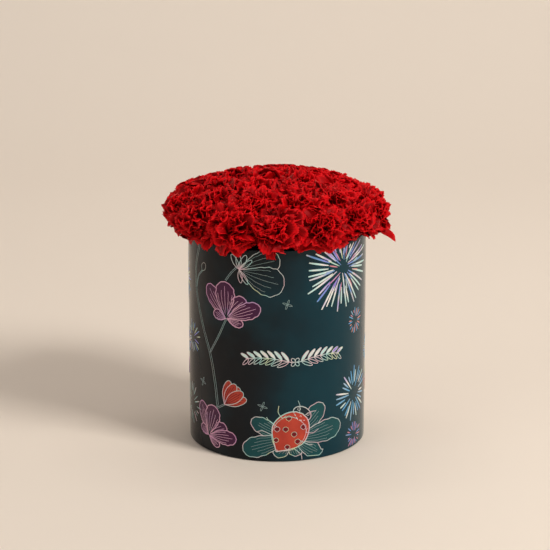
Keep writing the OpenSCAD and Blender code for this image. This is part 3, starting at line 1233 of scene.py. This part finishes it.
def stem(flower):
    """Points and faces of one stem in millimetres, from its cut foot to the calyx."""
    neck = NECKS[ROWS.index(flower.row)]
    up = np.array([0.0, 0.0, 1.0])
    bend = flower.centre / MM - flower.axis * (MOUTH_DROP + CALYX_L + neck)
    foot = np.array([bend[0], bend[1], rim_z - FOAM_DROP - STEM_DEPTH])
    below = bend - up * BEND_EASE
    above = bend + flower.axis * (neck + 1)
    path = [(foot + (below - foot) * t, up, 1.0) for t in np.linspace(0, 1, 7)]
    for t in np.linspace(0.1, 1, 10):
        way = (1 - t) * up + t * flower.axis
        swell = 1 + JOINT_SWELL * math.exp(-((t - JOINT_AT) / JOINT_LENGTH) ** 2)
        place = below * (1 - t) ** 2 + 2 * bend * t * (1 - t) + above * t * t
        path.append((place, way / np.linalg.norm(way), swell))
    turns = np.linspace(0, 2 * math.pi, SIDES, endpoint=False)
    points = []
    for place, way, swell in path:
        points += ring_around(place, flower.side, np.cross(way, flower.side), STEM_R * swell, turns)
    faces = grid_faces(len(path), SIDES, closed=True)
    faces.append(tuple(range(SIDES))[::-1])
    faces.append(tuple(len(points) - SIDES + k for k in range(SIDES)))
    return points, faces


def on_calyx(flower, high, turn, r):
    """A place round the calyx at a height over its foot."""
    base = flower.centre / MM - flower.axis * (MOUTH_DROP + CALYX_L)
    spoke = math.cos(turn) * flower.side + math.sin(turn) * flower.down
    return base + flower.axis * high + spoke * r


def cup(flower, first):
    """Points and faces of the cup in millimetres, with its teeth."""
    turns = np.linspace(0, 2 * math.pi, CUP_SIDES, endpoint=False)
    teeth = TOOTH_HEIGHT * np.abs(((turns * TEETH / (2 * math.pi)) % 1) * 2 - 1) ** 1.5
    points = []
    for place, r in CUP + CUP_INSIDE:
        for turn, tooth in zip(turns, teeth):
            high = place + tooth * smooth_step((place - TEETH_START) / TEETH_RAMP)
            ridge = RIDGE * math.cos(turn * TEETH * 2) * (2 < place < 20)
            points.append(on_calyx(flower, high, turn, r + ridge))
    faces = grid_faces(len(CUP + CUP_INSIDE), CUP_SIDES, first, closed=True)
    faces.append(tuple(first + k for k in range(CUP_SIDES))[::-1])
    faces.append(tuple(first + len(points) - CUP_SIDES + k for k in range(CUP_SIDES)))
    return points, faces


def calyx_scale(flower, number):
    """Points of one scale that lies against the foot of the cup, its outside first."""
    middle = math.radians(90 * number + 20)
    heights, radii = zip(*CUP)
    points = []
    for stand in (0.5, 0.05):
        for s in np.linspace(0, 1, SCALE_ROWS):
            high = -0.5 + (SCALE_LENGTH - number % 2) * s
            half = SCALE_HALF * math.sin(math.pi * (0.18 + 0.8 * s)) ** 0.8
            r = np.interp(high, heights, radii) + stand + 0.5 * s**3 * stand
            for v in np.linspace(-1, 1, SCALE_COLUMNS):
                points.append(on_calyx(flower, high, middle + half * v, r))
    return points


def green_parts(flower):
    """Points and faces of a stem, its cup and its scales."""
    points, faces = stem(flower)
    cup_points, cup_faces = cup(flower, len(points))
    points += cup_points
    faces += cup_faces
    for number in range(SCALES):
        faces += slab_faces(SCALE_ROWS, SCALE_COLUMNS, len(points))
        points += calyx_scale(flower, number)
    return points, faces


# %% [markdown]
# Stems and calyxes are a cool waxy green. Fine stripes run along them, and a pale bloom of wax lies in
# patches, as if it had been rubbed off in places.

# %% Waxy green
waxy_green = Finish("waxy_green", Specular_IOR_Level=0.35, Coat_Roughness=0.3)
wax = waxy_green.noise(90.0, 4.0, 0.6)
stripes = waxy_green.noise(120.0, 2.0, 0.6, waxy_green.stretched((9, 9, 1)))
green = mix(stripes, (0.05, 0.13, 0.018), (0.14, 0.24, 0.05))
green = mix((wax - 0.45) * 1.6, green, (0.2, 0.3, 0.19))
waxy_green.feed("Base Color", green)
waxy_green.feed("Roughness", 0.38 + 0.3 * wax)
waxy_green.bump(stripes, 0.08 * MM, 0.5)
for flower in flowers:
    points, faces = green_parts(flower)
    piece = new_piece("carnation_stem_" + flower.name, [point * MM for point in points], faces)
    paint(piece, waxy_green)
    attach(piece, "root")
    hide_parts("stem_" + flower.name)
print(len(flowers), "stems with their calyxes")

# %% [markdown]
# ## Inside the box
# The foam, boards and papers have the right shapes in the frame, so they keep their meshes and only get
# finishes. The film that keeps the board dry is the exception: a real one is a loosely pushed-in sheet with
# a wavy top edge, so a crinkled cup is spun to replace the frame's plain one.

# %% Crinkled film
FILM_T, FILM_AROUND, FILM_BANDS = 0.3, 240, 30
CRINKLE, WAVY = 0.35, 1.6
SMOOTH_FOOT = 20
film_low, film_high = (corner / MM for corner in map(np.array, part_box("waterproof_film")))
film_r, film_foot, film_top = film_high[0], film_low[2], film_high[2]
film_section = [(r, film_foot) for r in (1.0, 30.0, 60.0)]
film_section += [(film_r - 1.2, film_foot + 0.2), (film_r - 0.3, film_foot + 1.2)]
film_section += [(film_r - 0.3, z) for z in np.linspace(film_foot + 4, film_top, FILM_BANDS)]
film_points = []
for side in (0, FILM_T):
    for turn in 2 * math.pi * np.arange(FILM_AROUND) / FILM_AROUND:
        for r, z in film_section:
            loose = smooth_step((z - film_foot - SMOOTH_FOOT) / (film_top - film_foot))
            crinkle = math.sin(19 * turn + z / 9) * math.sin(31 * turn - z / 6)
            r_here = r - side - CRINKLE * loose * (1 + crinkle) * (r > film_r - 2)
            z_here = z + (side if r < film_r - 1 else 0)
            z_here -= WAVY * (1 + math.sin(9 * turn) * math.sin(23 * turn + 1)) * loose**3
            place = np.array([r_here * math.cos(turn), r_here * math.sin(turn), z_here])
            film_points.append(place * MM)
columns = len(film_section)
layer_size = FILM_AROUND * columns
film_faces = grid_faces(FILM_AROUND, columns, ring=True)
film_faces += [tuple(i + layer_size for i in reversed(face)) for face in film_faces]
for step in range(FILM_AROUND):
    this, after = step * columns, (step + 1) % FILM_AROUND * columns
    top = columns - 1
    film_faces.append((this + top, after + top, after + top + layer_size, this + top + layer_size))
for shift, order in ((0, -1), (layer_size, 1)):
    film_faces.append(tuple(shift + step * columns for step in range(FILM_AROUND))[::order])
film = new_piece("film_cup", film_points, film_faces)
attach(film, "root")
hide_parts("waterproof_film")
print("film", len(film_faces), "faces")

# %% Finishes for the hidden parts
clear_film = Finish("clear_film", Specular_IOR_Level=0.6, IOR=1.5)
film_haze = clear_film.noise(35.0, 3.0, 0.6)
clear_film.feed("Base Color", mix(film_haze, (0.62, 0.66, 0.64), (0.8, 0.82, 0.8)))
clear_film.feed("Roughness", 0.12 + 0.2 * film_haze)
clear_film.feed("Alpha", 0.35 + 0.3 * film_haze)
clear_film.bump(film_haze, 0.3 * MM, 0.5)
paint(film, clear_film)


def paper_finish(name, colour, shade, grain_scale, depth, matt=0.85):
    """Fibres and flecks of a paper or board."""
    made = Finish(name, Specular_IOR_Level=0.3)
    fibre = made.noise(grain_scale, 5.0, 0.7, made.stretched((1, 1, 0.25)))
    fleck = made.span(made.cells(grain_scale * 0.6), 0.05, 0.16, start=1.0, end=0.0)
    toned = mix(fibre, shade, colour)
    made.feed("Base Color", mix(fleck * 0.4, toned, shade))
    made.feed("Roughness", (matt - 0.1) + 0.2 * fibre)
    made.bump(fibre, depth * MM, 0.7)
    return made


wet_foam = Finish("wet_foam", Specular_IOR_Level=0.4)
pores = wet_foam.cells(1400.0)
damp = wet_foam.noise(30.0, 3.0, 0.6)
foam_green = mix(damp, (0.012, 0.075, 0.035), (0.03, 0.13, 0.06))
wet_foam.feed("Base Color", mix(pores * 0.6, foam_green, (0.05, 0.2, 0.1)))
wet_foam.feed("Roughness", 0.5 + 0.4 * damp)
wet_foam.bump(pores, 0.3 * MM, 0.8)
BOARD_GRAIN, BOARD_DEPTH, PAPER_GRAIN, PAPER_DEPTH = 260.0, 0.15, 400.0, 0.06
greyboard = paper_finish("greyboard", (0.42, 0.37, 0.31), (0.24, 0.21, 0.18), BOARD_GRAIN, BOARD_DEPTH)
base_paper = paper_finish("base_paper", (0.035, 0.04, 0.045), (0.018, 0.02, 0.024),
                          PAPER_GRAIN, PAPER_DEPTH, 0.7)
lining_paper = paper_finish("lining_paper", (0.022, 0.022, 0.024), (0.01, 0.01, 0.011),
                            PAPER_GRAIN, PAPER_DEPTH, 0.75)
hidden = dict(box_tube=greyboard, base_board=greyboard, base_paper=base_paper,
              inner_lining=lining_paper, flower_foam=wet_foam)
for name, finish in hidden.items():
    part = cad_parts[name]
    part.data.materials.clear()
    part.data.materials.append(finish.material)
print("finished", ", ".join(hidden))
